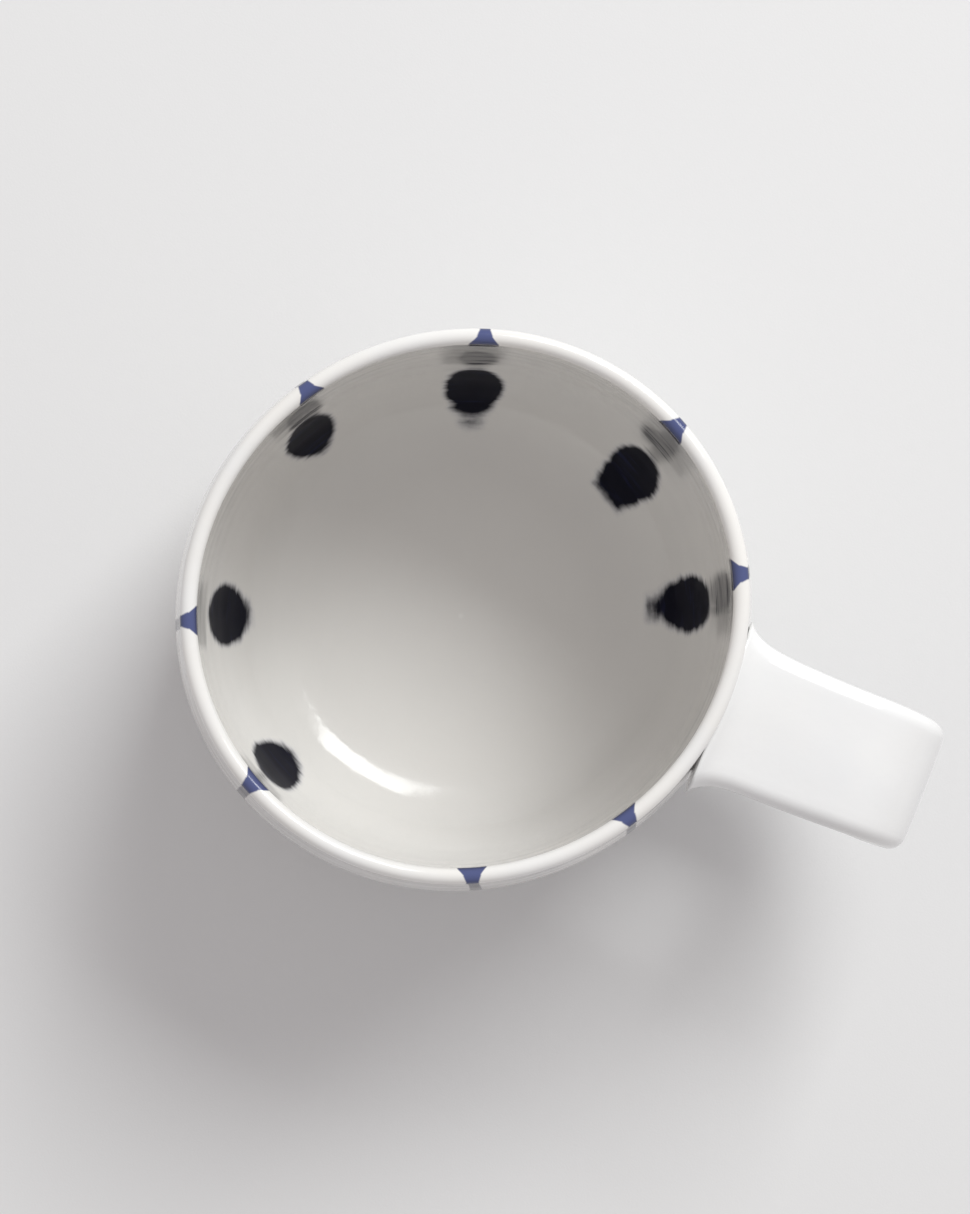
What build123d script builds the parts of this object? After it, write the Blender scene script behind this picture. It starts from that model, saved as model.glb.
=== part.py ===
"""Hand-made stoneware mug with a strap handle and cobalt brush marks.

Millimetres, +Z up. The origin is on the cup's axis, in the plane that the foot stands on,
and the handle points along +X. The cup is a body of revolution. Its glaze is a thin coat
on each side of the wall, and each brush mark is a much thinner layer of cobalt on the glaze,
so the clay, the glaze and the marks meet face to face.
"""
import os
from math import hypot, radians, sin

from build123d import *

os.makedirs("parts", exist_ok=True)

# ---- driving dimensions -------------------------------------------------------------
cup_height = 70.0            # foot to the top of the lip
lip_outer_radius = 44.1      # outside of the rounded lip
lip_thickness = 2.6          # the lip is a full round of this diameter
belly_radius = 47.0          # widest outside radius of the slightly barrelled wall
floor_radius = 33.0          # crease where the inside wall turns into the floor
floor_height = 9.2           # inside floor at that crease
floor_dish = 0.8             # the floor sinks this much towards its centre

foot_outer_radius = 31.0     # trimmed foot ring
foot_inner_radius = 27.0
foot_recess = 2.2            # depth of the turned recess inside the foot ring
foot_flare = 0.9             # the foot's outside leans outwards by this much
bare_height = 2.6            # the glaze stops this far above the table

glaze = 0.35                 # thickness of the fired glaze coat
cobalt = 0.08                # thickness of a brush mark on the glaze

handle_width = 22.4          # strap handle, clay without its glaze
handle_thickness = 5.8
handle_corner = 2.3          # rounding of the strap's long edges
handle_top = 62.4            # height of the strap's centre line where it leaves the cup
handle_reach = 77.2          # distance from the axis to the centre line of the upright part
handle_shoulder = 40.0       # height where the upright part starts to turn back to the cup
handle_heel = 63.5           # distance from the axis where it has turned to run into the cup
handle_bends = (11.0, 26.0, 15.0)
handle_foot = 19.0           # height of the centre line where it meets the cup again
slip_margin = 3.4            # how far each slip fillet spreads around the strap at the wall
slip_squash = 0.62           # the slip spreads less above and below the strap than beside it
slip_steps = ((0.0, 1.0), (4.2, 1.0), (5.8, 0.55), (8.2, 0.2), (11.5, 0.08))  # distance out, spread
seam_azimuth = 176.0         # where each turned surface closes on itself

stem_azimuths = (107.4, 147.7, 204.7, 241.5, 293.1, 329.2, 28.2, 61.8)
stem_width = 3.2             # brush stroke that crosses the lip
stem_flare = 5.0             # width of the stroke at its inner end
stem_inside_depth = 8.0      # how far the stroke runs down inside
outer_stem_joint = 57.0      # height where the two lengths of the stroke outside meet
dot_width = 9.6              # round dots, pressed on with a full brush
inner_dot_height = 15.2      # the inside dots are pulled downwards as the brush lifts
inner_dot_centre = 19.5      # height of their centres above the foot plane
# The inside dots, by stem number: how far each sits from its stem, in degrees and in height.
inner_dots = {
    1: (1.2, -0.3), 2: (4.4, 3.0), 3: (-2.8, 2.0), 4: (-0.6, 2.9), 7: (-4.0, -0.9), 8: (-0.8, -2.8),
}
outer_dot_height = 10.4
outer_dot_centre = 39.0

lip_radius = lip_thickness / 2
lip_middle = lip_outer_radius - lip_radius
lip_spring = cup_height - lip_radius

# Free points of the wall, radius and height, from the foot up and from the lip down.
outside_points = (
    (foot_outer_radius + foot_flare, bare_height),
    (40.6, 7.6),
    (45.1, 17.0),
    (belly_radius, 33.0),
    (belly_radius - 0.4, 46.0),
    (belly_radius - 1.7, 58.0),
    (lip_outer_radius, lip_spring),
)
outside_tangents = ((1.0, 0.25), (0.0, 1.0))
inside_points = (
    (lip_outer_radius - lip_thickness, lip_spring),
    (42.2, 60.0),
    (43.1, 48.0),
    (43.1, 36.0),
    (41.6, 25.0),
    (38.3, 16.0),
    (floor_radius, floor_height),
)
inside_tangents = ((0.0, -1.0), (-1.0, -0.62))


# ---- profiles: x is the radius, y the height --------------------------------------------
def sunk(points, tangents, depth):
    """The same points moved into the clay, square to the wall, by the depth of the glaze."""
    moved = []
    for place, (x, y) in enumerate(points):
        before = points[max(place - 1, 0)]
        after = points[min(place + 1, len(points) - 1)]
        run, rise = after[0] - before[0], after[1] - before[1]
        if place == 0:
            run, rise = tangents[0]
        if place == len(points) - 1:
            run, rise = tangents[1]
        span = hypot(run, rise)
        moved.append((x - depth * rise / span, y + depth * run / span))
    return moved


def wall_curve(points, tangents, depth=0.0):
    """One side of the wall as a smooth curve, at a depth below the glazed surface."""
    return Spline(*sunk(points, tangents, depth), tangents=tangents)


def lip_arc(side, radius):
    """A quarter of the rounded lip, from its spring line to its crest. Side is -1 inside, 1 outside."""
    bend = radius * sin(radians(45))
    return ThreePointArc(
        (lip_middle + side * radius, lip_spring),
        (lip_middle + side * bend, lip_spring + bend),
        (lip_middle, lip_spring + radius),
    )


def floor_curve(start):
    """The dished floor, from the crease to the axis."""
    return Spline(start, (0, start[1] - floor_dish), tangents=((-1.0, -0.05), (-1.0, 0.0)))


def closed_face(*pieces):
    """A face inside the given pieces of line, which meet end to end."""
    return make_face([edge for piece in pieces for edge in piece.edges()])


def clay_section():
    """The thrown and trimmed clay, without its glaze."""
    outer = wall_curve(outside_points, outside_tangents, glaze)
    inner = wall_curve(inside_points, inside_tangents, glaze)
    crease = inner @ 1
    floor = floor_curve((crease.X, crease.Y))
    foot = Polyline(
        (0, (floor @ 1).Y),
        (0, foot_recess),
        (foot_inner_radius - 1.0, foot_recess),
        (foot_inner_radius, 0),
        (foot_outer_radius, 0),
        outside_points[0],
        ((outer @ 0).X, (outer @ 0).Y),
    )
    round_lip = lip_radius - glaze
    return closed_face(outer, lip_arc(1, round_lip), lip_arc(-1, round_lip), inner, floor, foot)


def layer_section(side, points, tangents, top, bottom):
    """A thin layer on one side of the wall, from the lip's crest down, between two depths."""
    surface = wall_curve(points, tangents, top)
    under = wall_curve(points, tangents, bottom)
    crest = Line((lip_middle, cup_height - top), (lip_middle, cup_height - bottom))
    arcs = lip_arc(side, lip_radius - top), lip_arc(side, lip_radius - bottom)
    if side > 0:
        return closed_face(surface, under, crest, *arcs, Line(surface @ 0, under @ 0))
    crease, sunk_crease = surface @ 1, under @ 1
    upper = floor_curve((crease.X, crease.Y))
    lower = floor_curve((sunk_crease.X, sunk_crease.Y))
    return closed_face(surface, under, crest, *arcs, upper, lower, Line(upper @ 1, lower @ 1))


def inner_layer(top, bottom):
    """A layer over the whole inside, between two depths below the glazed surface."""
    return turned(layer_section(-1, inside_points, inside_tangents, top, bottom))


def outer_layer(top, bottom):
    """A layer over the outside, from the lip's crest to the bare foot."""
    return turned(layer_section(1, outside_points, outside_tangents, top, bottom))


def cup_envelope(growth=0.0):
    """The glazed outside of the cup as a filled solid, grown by a thickness of paint."""
    surface = wall_curve(outside_points, outside_tangents, -growth)
    start = surface @ 0
    rest = Polyline((0, cup_height + growth), (0, 0), (foot_outer_radius, 0), (start.X, start.Y))
    top = Line((0, cup_height + growth), (lip_middle, cup_height + growth))
    return turned(closed_face(surface, lip_arc(1, lip_radius + growth), top, rest))


def turned(face):
    """A section face, stood up and turned about the cup's axis, with its seam clear of every joint."""
    return Rot(0, 0, seam_azimuth) * revolve(Plane.XZ * face, Axis.Z)


# ---- handle -----------------------------------------------------------------------------
def handle_path():
    """The strap's centre line: out under the lip, round a soft corner, down and back to the cup."""
    return FilletPolyline(
        (lip_middle + 0.6, handle_top),
        (handle_reach - 0.5, handle_top + 0.6),
        (handle_reach, handle_shoulder),
        (handle_heel, handle_foot + 2.5),
        (lip_middle + 0.6, handle_foot),
        radius=handle_bends,
    )


def strap(growth):
    """The strap handle, grown on every side by a thickness of glaze."""
    path = Plane.XZ * handle_path()
    outline = RectangleRounded(
        handle_width + 2 * growth, handle_thickness + 2 * growth, handle_corner + growth
    )
    start = Plane(origin=path @ 0, x_dir=(0, 1, 0), z_dir=path % 0)
    return sweep(start * outline, path=path)


def root_outline(spread):
    """The outline of the slip around the strap's root, from its full spread down to none."""
    size = slip_margin * spread
    depth = handle_thickness + 2 * size * slip_squash
    return RectangleRounded(handle_width + 2 * size, depth, handle_corner + size * slip_squash)


def slip_fillet(height):
    """The slip smoothed around one root of the strap, wide at the wall and thin along the strap."""
    rings = []
    for along, spread in slip_steps:
        place = Plane(origin=(lip_middle + along, 0, height), x_dir=(0, 1, 0), z_dir=(1, 0, 0))
        rings.append(place * root_outline(spread))
    return loft(rings)


# ---- brush marks --------------------------------------------------------------------------
def stem_block(azimuth):
    """A block that crosses the lip at one azimuth: a stem that widens towards the inside."""
    top = cup_height + 2.0
    inner, outer = lip_middle - 9.0, lip_middle + 0.1
    half, flare = stem_width / 2, stem_flare / 2
    blade = make_face(
        Polyline((inner, -flare), (outer, -half), (outer, half), (inner, flare), (inner, -flare)).edges()
    )
    block = extrude(Pos(0, 0, top) * blade, amount=-(top - lip_spring + stem_inside_depth))
    return Rot(0, 0, azimuth) * block


def outer_stem(azimuth):
    """The stroke outside, from its dot up onto the lip, in two lengths that meet end to end."""
    lengths = []
    foot, top = outer_dot_centre + outer_dot_height * 0.45, lip_spring + lip_radius * 0.6
    for low, high in ((foot, outer_stem_joint), (outer_stem_joint, top)):
        place = Plane(origin=(30, 0, (low + high) / 2), x_dir=(0, 1, 0), z_dir=(1, 0, 0))
        bar = Rot(0, 0, azimuth) * extrude(place * Rectangle(stem_width, high - low), amount=28)
        layer = (bar & painted) - envelope
        lengths.append(max(layer.solids(), key=lambda solid: solid.volume))
    return Compound(lengths)


def dot_prism(azimuth, centre, height):
    """A rod that points outwards from the axis, as wide and tall as one dot."""
    outline = Plane(origin=(22, 0, centre), x_dir=(0, 1, 0), z_dir=(1, 0, 0)) * Ellipse(
        dot_width / 2, height / 2
    )
    return Rot(0, 0, azimuth) * extrude(outline, amount=36)


# ---- the cup and its handle ---------------------------------------------------------------
envelope = cup_envelope()
nodes = {
    "cup_body": turned(clay_section()).fix(),
    "inner_glaze": inner_layer(0.0, glaze),
    "outer_glaze": outer_layer(0.0, glaze),
    "handle": strap(0.0) - envelope,
}
strap_coat = strap(glaze) - strap(0.0) - envelope
for name, height in (("upper_slip_fillet", handle_top), ("lower_slip_fillet", handle_foot)):
    fillet = slip_fillet(height)
    nodes[name] = fillet - strap(0.0) - envelope
    strap_coat = strap_coat - fillet
nodes["handle_glaze"] = strap_coat

# ---- the brush marks ------------------------------------------------------------------------
inner_paint, outer_paint = inner_layer(-cobalt, 0.0), outer_layer(-cobalt, 0.0)
painted = cup_envelope(cobalt)
for number, azimuth in enumerate(stem_azimuths, start=1):
    nodes[f"lip_stem_{number}"] = inner_paint & stem_block(azimuth)
    nodes[f"outer_stem_{number}"] = outer_stem(azimuth)
    nodes[f"outer_dot_{number}"] = outer_paint & dot_prism(azimuth, outer_dot_centre, outer_dot_height)
    if number in inner_dots:
        turn, lift = inner_dots[number]
        inner_dot = dot_prism(azimuth + turn, inner_dot_centre + lift, inner_dot_height)
        nodes[f"inner_dot_{number}"] = inner_paint & inner_dot

for name, shape in nodes.items():
    print(name, len(shape.solids()), round(shape.volume, 2), shape.is_valid, flush=True)
    export_step(shape, f"parts/{name}.step")
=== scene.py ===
"""The looks of a hand-made stoneware mug: glaze coats, brush marks and bare clay around the CAD frame.

Lengths in the tables below are millimetres, in the frame of the CAD part: the cup's axis is Z,
the foot stands on z = 0 and the handle points along +X.
"""

import math

import bmesh
import bpy
import numpy as np
from mathutils import Matrix, Vector


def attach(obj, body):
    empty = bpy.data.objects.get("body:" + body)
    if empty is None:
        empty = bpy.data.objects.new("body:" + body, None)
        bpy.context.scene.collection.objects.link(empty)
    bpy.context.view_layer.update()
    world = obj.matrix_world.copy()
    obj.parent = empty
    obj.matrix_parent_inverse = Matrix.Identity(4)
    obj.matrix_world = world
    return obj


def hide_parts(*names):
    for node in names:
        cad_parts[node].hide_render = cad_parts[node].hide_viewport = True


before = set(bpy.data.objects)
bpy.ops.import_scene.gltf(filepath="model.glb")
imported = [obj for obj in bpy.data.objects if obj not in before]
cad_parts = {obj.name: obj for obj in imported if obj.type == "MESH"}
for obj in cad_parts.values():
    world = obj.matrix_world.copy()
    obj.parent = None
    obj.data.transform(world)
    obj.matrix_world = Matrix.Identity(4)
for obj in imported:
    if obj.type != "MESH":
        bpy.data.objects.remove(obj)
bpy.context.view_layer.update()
MM = 0.001

# ---- the cup, as in the CAD part -------------------------------------------------------
HEIGHT = 70.0
LIP_RADIUS = 1.3
LIP_MIDDLE = 42.8
SPRING = HEIGHT - LIP_RADIUS
GLAZE = 0.35
FOOT_OUT, FOOT_IN, FOOT_FLARE, BARE, RECESS = 31.0, 27.0, 0.9, 2.6, 2.2
FLOOR_DISH = 0.8
OUTSIDE = ((31.9, 2.6), (40.6, 7.6), (45.1, 17.0), (47.0, 33.0), (46.6, 46.0), (45.3, 58.0), (44.1, SPRING))
INSIDE = ((41.5, SPRING), (42.2, 60.0), (43.1, 48.0), (43.1, 36.0), (41.6, 25.0), (38.3, 16.0), (33.0, 9.2))
OUTSIDE_ENDS = ((1.0, 0.25), (0.0, 1.0))
INSIDE_ENDS = ((0.0, -1.0), (-1.0, -0.62))
OVAL, OVAL_AZIMUTH = 0.0215, math.radians(49.0)
RING_HEIGHT, WALL_WAVES, LIP_WAVES = 0.015, 0.16, 0.22      # how far the wall and the lip stray
COLUMNS = 512                   # vertices around the cup
SIDE_ROWS = 110                 # profile points down each side of the wall
CREASE_REACH = 6.0              # how far the eased crease runs along the floor and the wall

STEMS = (107.4, 147.7, 204.7, 241.5, 293.1, 329.2, 28.2, 61.8)     # azimuths in degrees
STEM_HALF, STEM_FLARE, STEM_DEPTH = 1.3, 2.35, 5.5
DOT_HALF = 4.8
INNER_DOT_Z, INNER_DOT_TALL = 19.5, 7.6
OUTER_DOT_Z, OUTER_DOT_TALL = 39.0, 5.2
# The inside dots, by stem number from zero: how far each sits from its stem, in degrees and in height.
INNER_DOTS = {
    0: (1.2, -0.3), 1: (4.4, 3.0), 2: (-2.8, 2.0), 3: (-0.6, 2.9), 6: (-4.0, -0.9), 7: (-0.8, -2.8),
}
# Dark streaks on the inner wall, partly brush lines down from the stems and partly painted reflections of
# the dots in the steep wall: stem number, shift along the wall, low end, high end and half width.
WALL_STREAKS_AND_DOT_REFLECTIONS = (
    (6, -1.6, 24.0, 50.0, 3.2), (6, -4.3, 22.0, 41.0, 1.0), (7, -0.6, 22.0, 60.0, 2.4),
    (7, 1.8, 28.0, 40.0, 2.2), (0, 0.6, 28.0, 44.0, 3.4), (1, 2.2, 26.0, 50.0, 3.6),
    (2, -3.8, 20.0, 27.0, 2.0), (3, -0.5, 26.0, 52.0, 1.0),
)
FLOOR_CLEAR = 33.0              # no paint nearer to the axis than this, inside
FAR = 9.0                       # the distance that means no paint near

# ---- the handle's centre line, as in the CAD part -----------------------------------------
HANDLE_ROUTE = ((43.4, 62.4), (76.7, 63.0), (77.2, 40.0), (63.5, 21.5), (43.4, 19.0))
HANDLE_BENDS = (11.0, 26.0, 15.0)
HANDLE_HALF_WIDTH, HANDLE_HALF_DEPTH, HANDLE_CORNER = 11.55, 3.25, 2.5
SLIP_SPREAD, SLIP_FADE = 3.3, 2.4


# ---- small helpers ---------------------------------------------------------------------------
def smooth_curve(points, ends, count):
    """Points along a smooth curve through the given points, with the given end directions."""
    p = np.array(points, float)
    t = np.concatenate(([0], np.cumsum(np.linalg.norm(np.diff(p, axis=0), axis=1))))
    n = len(p)
    a, b = np.zeros((n, n)), np.zeros((n, 2))
    a[0, 0] = a[-1, -1] = 1
    b[0] = np.array(ends[0]) / np.hypot(*ends[0])
    b[-1] = np.array(ends[1]) / np.hypot(*ends[1])
    for i in range(1, n - 1):
        before, after = t[i] - t[i - 1], t[i + 1] - t[i]
        a[i, i - 1], a[i, i], a[i, i + 1] = after, 2 * (before + after), before
        b[i] = 3 * ((p[i] - p[i - 1]) / before * after + (p[i + 1] - p[i]) / after * before)
    slope = np.linalg.solve(a, b)
    out = []
    for s in np.linspace(0, t[-1], count):
        i = min(np.searchsorted(t, s, side="right") - 1, n - 2)
        h = t[i + 1] - t[i]
        u = (s - t[i]) / h
        out.append(p[i] * (2 * u**3 - 3 * u**2 + 1) + p[i + 1] * (3 * u**2 - 2 * u**3)
                   + slope[i] * h * (u**3 - 2 * u**2 + u) + slope[i + 1] * h * (u**3 - u**2))
    return np.array(out)


def lip_points(radius, count):
    """The rounded lip from the inside spring line over the crest to the outside."""
    turn = np.linspace(math.pi, 0, count)
    return np.c_[LIP_MIDDLE + radius * np.cos(turn), SPRING + radius * np.sin(turn)]


def floor_points(edge, count):
    """The dished floor from near the axis out to the crease."""
    share = np.linspace(0.02, 1, count)
    return np.c_[edge[0] * share, edge[1] - FLOOR_DISH * (1 - share**2)]


def wander(angle, z, seed, scale):
    """A slow, repeatable wave over the surface, between about -1 and 1."""
    rng = np.random.default_rng(seed)
    total = np.zeros_like(angle + z)
    for k in range(1, 6):
        phase, tilt = rng.uniform(0, 2 * math.pi), rng.uniform(-1, 1)
        total = total + np.sin(k * angle + tilt * z / scale + phase) / k**0.8
    return total / 2.2


def hand_made(points):
    """Moves points of the round cup as the potter's hands did: oval, wavy lip, faint throwing rings."""
    x, y, z = points.T
    angle, radius = np.arctan2(y, x), np.hypot(x, y)
    high = np.clip(z / HEIGHT, 0, 1)
    open_share = np.clip(2 * high, 0, 1)
    rings = RING_HEIGHT * np.sin(z * 1.25 + 0.8 * np.sin(angle) + wander(angle, z, 3, 20.0))
    wall = np.clip((radius - 30) / 8, 0, 1)
    radius = radius + wall * (rings + WALL_WAVES * wander(angle, z, 5, 30.0))
    stretch = 1 + OVAL * open_share * np.cos(2 * (angle - OVAL_AZIMUTH))
    lift = high**4 * LIP_WAVES * wander(angle, 0 * z, 11, 9.0)
    return np.c_[radius * stretch * np.cos(angle), radius * stretch * np.sin(angle), z + lift]


def mesh_object(name, vertices, faces, materials, smooth=True):
    """An object from millimetre points and faces."""
    mesh = bpy.data.meshes.new(name)
    mesh.from_pydata([tuple(v) for v in np.asarray(vertices) * MM], [], faces)
    mesh.validate()
    for material in materials:
        mesh.materials.append(material)
    mesh.polygons.foreach_set("use_smooth", [smooth] * len(mesh.polygons))
    mesh.update()
    piece = bpy.data.objects.new(name, mesh)
    bpy.context.collection.objects.link(piece)
    return piece


def lathe(name, profile, materials):
    """Turns (radius, height) rows about Z, closes both ends, and lays the hand-made shape on it.

    Returns the piece and the points of the round cup before that shape was laid on them.
    """
    turn = np.linspace(0, 2 * math.pi, COLUMNS, endpoint=False)
    rows = len(profile)
    vertices = np.array([(r * math.cos(a), r * math.sin(a), z) for r, z in profile for a in turn])
    faces = []
    for i in range(rows - 1):
        low, high = i * COLUMNS, (i + 1) * COLUMNS
        for j in range(COLUMNS):
            k = (j + 1) % COLUMNS
            faces.append((low + j, low + k, high + k, high + j))
    for row, flip in ((0, True), (rows - 1, False)):
        centre = len(vertices)
        vertices = np.vstack((vertices, (0, 0, profile[row][1])))
        for j in range(COLUMNS):
            edge = (row * COLUMNS + j, row * COLUMNS + (j + 1) % COLUMNS)
            faces.append((centre, *(edge[::-1] if flip else edge)))
    return mesh_object(name, hand_made(vertices), faces, materials), vertices


# ---- materials ------------------------------------------------------------------------------------
class Tree:
    """Short calls for building one node material."""

    def __init__(self, name):
        self.material = bpy.data.materials.new(name)
        self.material.use_nodes = True
        self.nodes, self.links = self.material.node_tree.nodes, self.material.node_tree.links
        self.shader = self.nodes["Principled BSDF"]

    def add(self, kind, inputs=None, **settings):
        node = self.nodes.new("ShaderNode" + kind)
        for key, value in settings.items():
            setattr(node, key, value)
        for key, value in (inputs or {}).items():
            self.put(node.inputs[key], value)
        return node

    def put(self, socket, value):
        if isinstance(value, bpy.types.NodeSocket):
            self.links.new(value, socket)
        else:
            socket.default_value = value

    def noise(self, scale, detail=3.0, roughness=0.5, vector=None):
        place = vector or self.place()
        return self.add("TexNoise", {"Vector": place, "Scale": scale, "Detail": detail,
                                     "Roughness": roughness}).outputs["Fac"]

    def place(self):
        return self.add("TexCoord").outputs["Object"]

    def math(self, operation, a, b):
        return self.add("Math", {0: a, 1: b}, operation=operation).outputs[0]

    def ramp(self, value, low, high, start=0.0, end=1.0):
        node = self.add("MapRange", {"Value": value, "From Min": low, "From Max": high,
                                     "To Min": start, "To Max": end}, interpolation_type="SMOOTHSTEP")
        return node.outputs["Result"]

    def mix(self, share, a, b):
        node = self.add("Mix", data_type="RGBA")
        self.put(node.inputs[0], share)
        self.put(node.inputs[6], a)
        self.put(node.inputs[7], b)
        return node.outputs[2]

    def field(self, name):
        return self.add("Attribute", attribute_name=name).outputs["Fac"]

    def bump(self, height, strength, distance):
        node = self.add("Bump", {"Height": height, "Strength": strength, "Distance": distance})
        self.put(self.shader.inputs["Normal"], node.outputs["Normal"])


def specks(tree, scale, threshold, seed):
    """Sparse small iron specks, as a share from 0 to 1."""
    moved = tree.add("VectorMath", {0: tree.place(), 1: (seed, seed * 0.7, -seed)}, operation="ADD")
    cells = tree.add("TexVoronoi", {"Vector": moved.outputs[0], "Scale": scale})
    rare = tree.add("SeparateColor", {"Color": cells.outputs["Color"]}).outputs[0]
    near = tree.ramp(cells.outputs["Distance"], 0.02, 0.075, 1.0, 0.0)
    return tree.math("MULTIPLY", near, tree.math("GREATER_THAN", rare, threshold))


def white_glaze(name, warm, cool, painted):
    """Glossy white glaze with faint colour drift, orange peel and iron specks."""
    tree = Tree(name)
    drift = tree.ramp(tree.noise(34.0, 4.0, 0.6), 0.35, 0.68)
    colour = tree.mix(drift, warm, cool)
    iron = tree.math("MULTIPLY", specks(tree, 95.0, 0.985, 3.1), 0.75)
    colour = tree.mix(iron, colour, (0.06, 0.045, 0.035, 1))
    roughness = tree.ramp(tree.noise(120.0, 2.0), 0.3, 0.7, 0.09, 0.17)
    tree.put(tree.shader.inputs["Roughness"], roughness)
    tree.shader.inputs["IOR"].default_value = 1.5
    tree.shader.inputs["Specular IOR Level"].default_value = 0.42
    swell = tree.noise(62.0, 2.0, 0.4)
    peel = tree.math("MULTIPLY", tree.noise(900.0, 2.0, 0.5), 0.05)
    tree.bump(tree.math("ADD", swell, peel), 0.35, 0.0011)
    if painted:
        # Painted shade: the inside glaze is mixed towards a darker tint deeper in the cup.
        colour = tree.mix(tree.field("painted_depth_shade"), colour, (0.79, 0.775, 0.75, 1))
        colour, covered = brushwork(tree, colour)
        pigment = tree.add("BsdfPrincipled", {"Base Color": colour, "Roughness": 0.3, "IOR": 1.12})
        both = tree.add("MixShader", {0: covered, 1: tree.shader.outputs[0], 2: pigment.outputs[0]})
        tree.put(tree.nodes["Material Output"].inputs["Surface"], both.outputs[0])
    tree.put(tree.shader.inputs["Base Color"], colour)
    return tree.material


def brushwork(tree, ground):
    """Cobalt over the glaze: stems that pale on the lip, full dark dots, and dark wall streaks that are
    partly brush lines and partly painted reflections of the dots.

    Returns the colour and the share of the surface that thick pigment covers.
    """
    ragged = tree.math("SUBTRACT", tree.noise(520.0, 3.0, 0.6), 0.5)
    broad = tree.math("SUBTRACT", tree.noise(150.0, 2.0, 0.5), 0.5)
    wobble = tree.math("ADD", tree.math("MULTIPLY", ragged, 0.5), tree.math("MULTIPLY", broad, 0.9))
    level = tree.add("VectorMath", {0: tree.place(), 1: (90.0, 90.0, 700.0)}, operation="MULTIPLY")
    streak = tree.noise(1.0, 3.0, 0.6, vector=level.outputs[0])
    stem = tree.math("ADD", tree.field("stem_edge"), tree.math("MULTIPLY", wobble, 0.6))
    brushed = tree.math("ADD", wobble, tree.math("MULTIPLY", tree.math("SUBTRACT", streak, 0.5), 1.5))
    dot = tree.math("ADD", tree.field("dot_edge"), brushed)
    # The wall streaks: partly brush lines, partly painted reflections of the dots in the steep wall.
    streak_and_reflection = tree.math("ADD", tree.field("streak_and_reflection_edge"), brushed)
    stem_share = tree.ramp(stem, -0.16, 0.2, 1.0, 0.0)
    dot_share = tree.ramp(dot, -0.45, 0.65, 1.0, 0.0)
    broken = tree.ramp(streak, 0.3, 0.55, 1.0, 0.55)
    streak_and_reflection_share = tree.math("MULTIPLY", tree.ramp(streak_and_reflection, -0.9, 0.9, 0.95, 0.0), broken)
    watery = tree.ramp(tree.noise(380.0, 3.0, 0.7), 0.5, 0.72, 0.0, 0.8)
    thin = tree.math("MAXIMUM", tree.field("crest"), watery)
    blue = tree.mix(thin, (0.005, 0.007, 0.04, 1), (0.06, 0.08, 0.22, 1))
    navy = tree.mix(tree.ramp(streak, 0.5, 0.85), (0.002, 0.0022, 0.009, 1), (0.008, 0.011, 0.045, 1))
    halo = tree.ramp(dot, 0.0, 1.1, 0.30, 0.0)
    colour = tree.mix(halo, ground, (0.15, 0.17, 0.27, 1))
    # Painted reflection: the dots' dark copies on the steep wall, together with the brush lines, darken the
    # glaze here.
    colour = tree.mix(streak_and_reflection_share, colour, (0.006, 0.007, 0.022, 1))
    colour = tree.mix(tree.math("MULTIPLY", stem_share, 0.97), colour, blue)
    colour = tree.mix(tree.math("MULTIPLY", dot_share, 0.99), colour, navy)
    return colour, tree.math("MAXIMUM", dot_share, streak_and_reflection_share)


def bare_clay():
    """Fired stoneware without glaze: warm grey, sandy and matt."""
    tree = Tree("bare_stoneware")
    grain = tree.noise(1500.0, 5.0, 0.7)
    broad = tree.noise(70.0, 3.0)
    colour = tree.mix(tree.ramp(broad, 0.3, 0.7), (0.50, 0.43, 0.34, 1), (0.62, 0.56, 0.47, 1))
    colour = tree.mix(tree.ramp(grain, 0.6, 0.75, 0.0, 0.5), colour, (0.30, 0.23, 0.16, 1))
    tree.put(tree.shader.inputs["Base Color"], colour)
    tree.shader.inputs["Roughness"].default_value = 0.85
    tree.bump(grain, 0.5, 0.0004)
    return tree.material


# ---- pieces ------------------------------------------------------------------------------------------
def clay_profile():
    """The clay cup's closed section, a glaze thickness inside the glazed surface."""
    outer = smooth_curve(OUTSIDE, OUTSIDE_ENDS, 60)
    inner = smooth_curve(INSIDE, INSIDE_ENDS, 60)
    outer, inner = sunk(outer, GLAZE), sunk(inner, GLAZE)
    edge = inner[-1]
    floor = floor_points(edge, 12)[::-1]
    foot = rounded_foot()
    return np.vstack((foot, outer, lip_points(LIP_RADIUS - GLAZE, 11)[::-1][1:-1], inner, floor[1:]))


def rounded_foot():
    """From the middle of the turned recess out over the foot ring, with softened edges."""
    corners = (
        (0.6, RECESS), (FOOT_IN - 1.4, RECESS), (FOOT_IN, 0.0), (FOOT_OUT, 0.0),
        (FOOT_OUT + FOOT_FLARE, BARE),
    )
    soft = 0.45
    rim = [corners[0]] + [(r, RECESS) for r in np.linspace(3, FOOT_IN - 2.2, 8)]
    for before, here, after in zip(corners[:-2], corners[1:-1], corners[2:]):
        here, a, b = np.array(here), np.array(before), np.array(after)
        to_a, to_b = (a - here) / np.linalg.norm(a - here), (b - here) / np.linalg.norm(b - here)
        for u in (0.0, 0.25, 0.5, 0.75, 1.0):
            rim.append(tuple(here + to_a * soft * (1 - u) ** 2 + to_b * soft * u**2))
    rim.append(corners[-1])
    return np.array(rim)


def sunk(curve, depth):
    """A curve moved to its left by a depth, which is into the clay for both sides of the wall."""
    along = np.gradient(curve, axis=0)
    along /= np.linalg.norm(along, axis=1)[:, None]
    return curve + depth * np.c_[-along[:, 1], along[:, 0]]


def eased_crease(floor, wall, reach):
    """Floor rows and wall rows that meet at the crease, with a soft curve in place of the sharp turn."""
    crease = floor[-1]
    floor = floor[np.linalg.norm(floor - crease, axis=1) > reach]
    wall = wall[np.linalg.norm(wall - crease, axis=1) > reach]
    u = np.linspace(0, 1, 16)[1:-1, None]
    bend = floor[-1] * (1 - u) ** 2 + 2 * crease * u * (1 - u) + wall[0] * u**2
    return np.vstack((floor, bend, wall))


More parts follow.
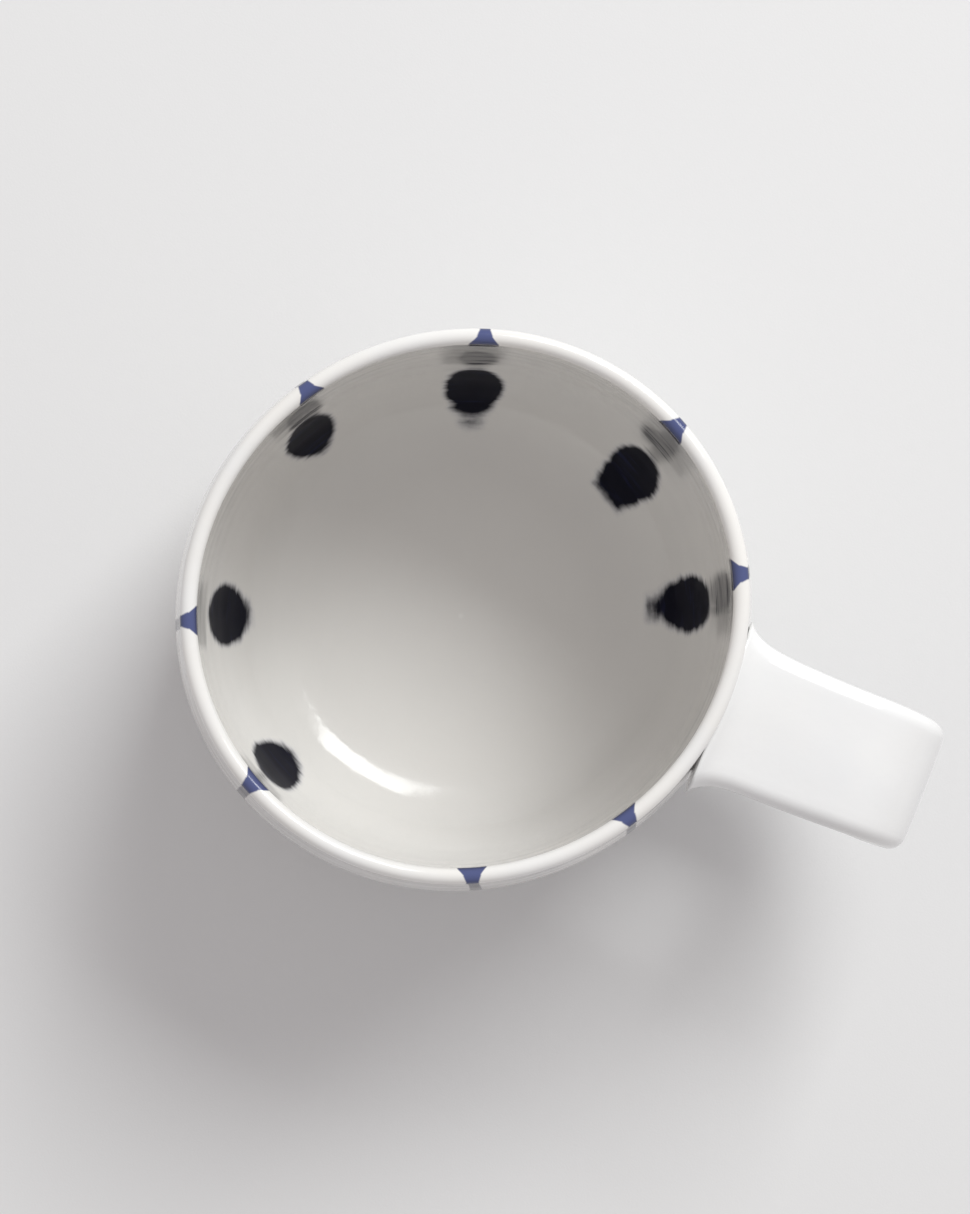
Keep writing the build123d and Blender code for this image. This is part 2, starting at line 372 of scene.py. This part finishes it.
def coat_profile():
    """The glaze as a closed loop: its shiny face from floor over the lip to the foot, then its back."""
    inner = smooth_curve(INSIDE, INSIDE_ENDS, SIDE_ROWS)
    outer = smooth_curve(OUTSIDE, OUTSIDE_ENDS, SIDE_ROWS)
    floor = floor_points(inner[-1], 34)
    inside = eased_crease(floor, inner[::-1], CREASE_REACH)
    face = np.vstack((inside, lip_points(LIP_RADIUS, 23)[1:-1], outer[::-1]))
    few = np.linspace(0, SIDE_ROWS - 1, 20).astype(int)
    coarse_in, coarse_out = sunk(inner, GLAZE * 0.9)[few], sunk(outer, GLAZE * 0.9)[few]
    back_floor = floor_points(coarse_in[-1], 8)
    bead = outer[0] + np.array([(0.16, -0.14), (0.10, -0.26), (-0.06, -0.22)])
    back_lip = lip_points(LIP_RADIUS - GLAZE, 9)[::-1][1:-1]
    back = np.vstack((bead, coarse_out, back_lip, coarse_in, back_floor[::-1][1:]))
    return np.vstack((face, back))


def paint_fields(piece, round_points, is_inside):
    """Stores, on each vertex, millimetres to the edge of the nearest stem, dot and dark wall streak (partly
    a brush line, partly a painted reflection of the dots),
    and two shares: how deep in the cup it lies, which sets a painted shade that darkens the inside towards
    the floor, and how near the lip's crest it is.
    """
    x, y, z = round_points.T
    azimuth, radius = np.arctan2(y, x), np.hypot(x, y)
    depth = HEIGHT - z
    stem, dot, streak_and_reflection = np.full((3, len(z)), FAR)
    rng = np.random.default_rng(21)

    def across(degrees):
        """Distance along the wall from an azimuth, anticlockwise positive."""
        turn = (azimuth - math.radians(degrees) + math.pi) % (2 * math.pi) - math.pi
        return turn * radius

    flare = np.where(is_inside, np.clip((LIP_MIDDLE - 0.2 - radius) / 1.2 + depth / 5.0, 0, 1), 0)
    half = STEM_HALF * (1 - 0.3 * np.clip(radius - LIP_MIDDLE, 0, 1)) + (STEM_FLARE - STEM_HALF) * flare
    reach = np.where(is_inside, STEM_DEPTH, HEIGHT - OUTER_DOT_Z - OUTER_DOT_TALL + 0.8)
    for number, degrees in enumerate(STEMS):
        lean, swell = rng.uniform(-0.05, 0.05), rng.uniform(0.97, 1.05)
        beside = np.abs(across(degrees) - lean * depth) - half
        stem = np.minimum(stem, np.maximum(beside, depth - reach))
        wide = DOT_HALF * swell
        outside = np.hypot(across(degrees) / wide, (z - OUTER_DOT_Z) / OUTER_DOT_TALL)
        dot = np.minimum(dot, np.where(is_inside, FAR, (outside - 1) * DOT_HALF))
        if number in INNER_DOTS:
            turn, lift = INNER_DOTS[number]
            inside = np.hypot(across(degrees + turn) / wide, (z - INNER_DOT_Z - lift) / INNER_DOT_TALL)
            dot = np.minimum(dot, np.where(is_inside, (inside - 1) * DOT_HALF, FAR))
    # The wall streaks: partly brush lines down from the stems, partly painted reflections of the dots.
    for number, shift, low, high, wide in WALL_STREAKS_AND_DOT_REFLECTIONS:
        middle, tall = (low + high) / 2, (high - low) / 2
        round_off = np.hypot((across(STEMS[number]) - shift) / wide, (z - middle) / tall)
        streak_and_reflection = np.minimum(streak_and_reflection, np.where(is_inside, (round_off - 1) * wide, FAR))
    off_floor = FLOOR_CLEAR - radius
    dot = np.where(is_inside, np.maximum(dot, off_floor), dot)
    streak_and_reflection = np.maximum(streak_and_reflection, off_floor)
    # Painted shade share: zero near the lip, full about 56 mm down in the cup.
    painted_depth_shade = np.where(is_inside, np.clip((depth - 6.0) / 50.0, 0, 1), 0)
    crest = np.exp(-((depth / 0.9) ** 2))
    fields = {"stem_edge": stem, "dot_edge": dot, "streak_and_reflection_edge": streak_and_reflection, "painted_depth_shade": painted_depth_shade, "crest": crest}
    for name, values in fields.items():
        data = piece.data.attributes.new(name, "FLOAT", "POINT")
        data.data.foreach_set("value", np.clip(values, -FAR, FAR).astype(np.float32))


def glaze_coat(material):
    """The white coat over the whole cup, with the brush marks in it."""
    profile = coat_profile()
    piece, points = lathe("white_glaze_coat", profile, [material])
    rows = np.arange(len(points)) // COLUMNS
    crest = int(np.argmax(profile[:, 1]))
    paint_fields(piece, points, rows < crest)
    return piece


def rounded_route():
    """The handle's centre line in the XZ plane, with an arc at each bend, and its directions."""
    points = [np.array(p) for p in HANDLE_ROUTE]
    line = [points[0]]
    for before, here, after, radius in zip(points, points[1:], points[2:], HANDLE_BENDS):
        to_before, to_after = before - here, after - here
        to_before, to_after = to_before / np.linalg.norm(to_before), to_after / np.linalg.norm(to_after)
        half = math.acos(float(np.clip(to_before @ to_after, -1, 1))) / 2
        middle_way = (to_before + to_after) / np.linalg.norm(to_before + to_after)
        centre = here + middle_way * radius / math.sin(half)
        start, end = here + to_before * radius / math.tan(half), here + to_after * radius / math.tan(half)
        first, last = math.atan2(*(start - centre)[::-1]), math.atan2(*(end - centre)[::-1])
        turn = (last - first + math.pi) % (2 * math.pi) - math.pi
        line += [centre + radius * np.array((math.cos(first + turn * u), math.sin(first + turn * u)))
                 for u in np.linspace(0, 1, 25)]
    line.append(points[-1])
    line = np.array(line)
    length = np.concatenate(([0], np.cumsum(np.linalg.norm(np.diff(line, axis=0), axis=1))))
    steps = np.linspace(0, length[-1], 190)
    line = np.c_[np.interp(steps, length, line[:, 0]), np.interp(steps, length, line[:, 1])]
    for _ in range(6):
        line[1:-1] = (line[:-2] + 2 * line[1:-1] + line[2:]) / 4
    along = np.gradient(line, axis=0)
    return line, along / np.linalg.norm(along, axis=1)[:, None], steps / length[-1]


def strap_outline(half_width, half_depth, corner):
    """Points around the strap's rounded section: across is Y, depth is square to the strap."""
    wide, tall = half_width - corner, half_depth - corner
    points = []
    for quarter, (side, level) in enumerate(((1, 1), (-1, 1), (-1, -1), (1, -1))):
        for turn in np.linspace(quarter, quarter + 1, 9) * math.pi / 2:
            points.append((side * wide + corner * math.cos(turn), level * tall + corner * math.sin(turn)))
        if quarter in (0, 2):
            end = -side * wide
            points += [(x, level * half_depth) for x in np.linspace(side * wide, end, 16)[1:-1]]
    return np.array(points).T


def handle_skin(material):
    """The glazed strap, swept along its centre line and spread into the wall at both roots."""
    line, along, share = rounded_route()
    outer = smooth_curve(OUTSIDE, OUTSIDE_ENDS, 200)
    vertices = []
    for (x, z), (dx, dz), s in zip(line, along, share):
        narrowing = 1 - 0.055 * min(1.0, s / 0.45)
        across, deep = strap_outline(HANDLE_HALF_WIDTH * narrowing, HANDLE_HALF_DEPTH, HANDLE_CORNER)
        crown = 0.22 * (across / HANDLE_HALF_WIDTH) ** 2
        deep = deep - np.sign(deep) * crown
        px, py, pz = x - dz * deep, across, z + dx * deep
        wall = np.interp(pz, outer[:, 1], outer[:, 0])
        gap = np.maximum(np.hypot(px, py) - wall, -1.0)
        spread = SLIP_SPREAD * np.exp(-np.maximum(gap, 0) / SLIP_FADE) if x < 60 else 0 * gap
        lean = np.hypot(across / HANDLE_HALF_WIDTH, deep / HANDLE_HALF_DEPTH)
        py = py + spread * (across / HANDLE_HALF_WIDTH) / lean
        lift = 0.62 * spread * (deep / HANDLE_HALF_DEPTH) / lean
        vertices += list(zip(px - dz * lift, py, pz + dx * lift))
    vertices = np.array(vertices)
    x, y, z = vertices.T
    vertices[:, 1] += 0.16 * np.sin(x * 0.16 + z * 0.11 + 0.6)
    vertices[:, 2] += 0.10 * np.sin(y * 0.27 + x * 0.13)
    count = len(across)
    rows = len(line)
    faces = []
    for i in range(rows - 1):
        for j in range(count):
            k = (j + 1) % count
            faces.append((i * count + j, i * count + k, (i + 1) * count + k, (i + 1) * count + j))
    faces.append(tuple(range(count))[::-1])
    faces.append(tuple((rows - 1) * count + j for j in range(count)))
    return mesh_object("handle_glaze_coat", vertices, faces, [material])


def outward(piece):
    """Makes every face of a closed piece look outwards."""
    work = bmesh.new()
    work.from_mesh(piece.data)
    bmesh.ops.recalc_face_normals(work, faces=work.faces)
    work.to_mesh(piece.data)
    work.free()


warm_white = white_glaze("warm_white_glaze", (0.86, 0.845, 0.815, 1), (0.84, 0.84, 0.835, 1), True)
cool_white = white_glaze("cool_white_glaze", (0.87, 0.87, 0.865, 1), (0.845, 0.85, 0.855, 1), False)
clay = bare_clay()

coat = glaze_coat(warm_white)
cup, _ = lathe("clay_cup", clay_profile(), [clay])
skin = handle_skin(cool_white)
for piece in (coat, cup, skin):
    outward(piece)
    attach(piece, "root")
mark_kinds = ("lip_stem", "outer_stem", "inner_dot", "outer_dot")
marks = [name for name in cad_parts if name.startswith(mark_kinds)]
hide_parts("inner_glaze", "outer_glaze", *marks)
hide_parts("cup_body")
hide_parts("handle", "handle_glaze", "upper_slip_fillet", "lower_slip_fillet")

# ---- table, light and camera -----------------------------------------------------------------------
VIEW_TURN = math.radians(21.6)                 # the picture's right-hand side, as an azimuth
# Places are metres to the right, up the picture and above the table, from the cup's axis.
CAMERA_PLACE, CAMERA_TARGET = (-0.0059, -0.0139, 0.550), (0.0031, -0.0002, 0.070)
CAMERA_LENS, CAMERA_SENSOR = 91.1, 36.0        # millimetres
WINDOW_PLACE, WINDOW_TARGET = (0.542, 0.862, 1.132), (0, 0, 0.035)
WINDOW_SIZE, WINDOW_POWER, WINDOW_COLOUR = 0.7, 16.2, (0.98, 1.0, 0.99)
ROOM_COLOUR, ROOM_STRENGTH = (1.0, 0.96, 0.968, 1), 0.51
RIGHT = Vector((math.cos(VIEW_TURN), math.sin(VIEW_TURN), 0))
UP = Vector((-math.sin(VIEW_TURN), math.cos(VIEW_TURN), 0))


def spot(right, up, height):
    """A point given in the picture's directions, in metres from the cup's axis."""
    return RIGHT * right + UP * up + Vector((0, 0, height))


def aim(thing, target, up=None):
    """Turns a lamp or camera towards a point."""
    back = (thing.location - target).normalized()
    side = (up or Vector((0, 0, 1))).cross(back).normalized()
    thing.rotation_euler = Matrix((side, back.cross(side), back)).transposed().to_euler()


def table():
    """The pale seamless table."""
    tree = Tree("table_paper")
    drift = tree.ramp(tree.noise(3.0, 3.0), 0.3, 0.7)
    colour = tree.mix(drift, (0.765, 0.765, 0.768, 1), (0.785, 0.785, 0.785, 1))
    tree.put(tree.shader.inputs["Base Color"], colour)
    tree.shader.inputs["Roughness"].default_value = 0.9
    tree.bump(tree.noise(2500.0, 2.0), 0.08, 0.0002)
    size = 1500.0
    corners = [(-size, -size, 0), (size, -size, 0), (size, size, 0), (-size, size, 0)]
    return mesh_object("table", corners, [(0, 1, 2, 3)], [tree.material], False)


def lamp(name, place, target, size, power, colour):
    """A square soft light."""
    data = bpy.data.lights.new(name, "AREA")
    data.shape, data.size, data.energy, data.color = "SQUARE", size, power, colour
    light = bpy.data.objects.new(name, data)
    bpy.context.collection.objects.link(light)
    light.location = place
    aim(light, target)


table()
window_place, window_target = spot(*WINDOW_PLACE), spot(*WINDOW_TARGET)
lamp("window", window_place, window_target, WINDOW_SIZE, WINDOW_POWER, WINDOW_COLOUR)
world = bpy.data.worlds.new("studio")
bpy.context.scene.world = world
world.use_nodes = True
world.node_tree.nodes["Background"].inputs["Color"].default_value = ROOM_COLOUR
world.node_tree.nodes["Background"].inputs["Strength"].default_value = ROOM_STRENGTH

camera_data = bpy.data.cameras.new("camera")
camera_data.sensor_fit = "VERTICAL"
camera_data.sensor_height = CAMERA_SENSOR
camera_data.lens = CAMERA_LENS
camera = bpy.data.objects.new("camera", camera_data)
bpy.context.collection.objects.link(camera)
camera.location = spot(*CAMERA_PLACE)
aim(camera, spot(*CAMERA_TARGET), UP)
bpy.context.scene.camera = camera
bpy.context.scene.view_settings.view_transform = "Standard"
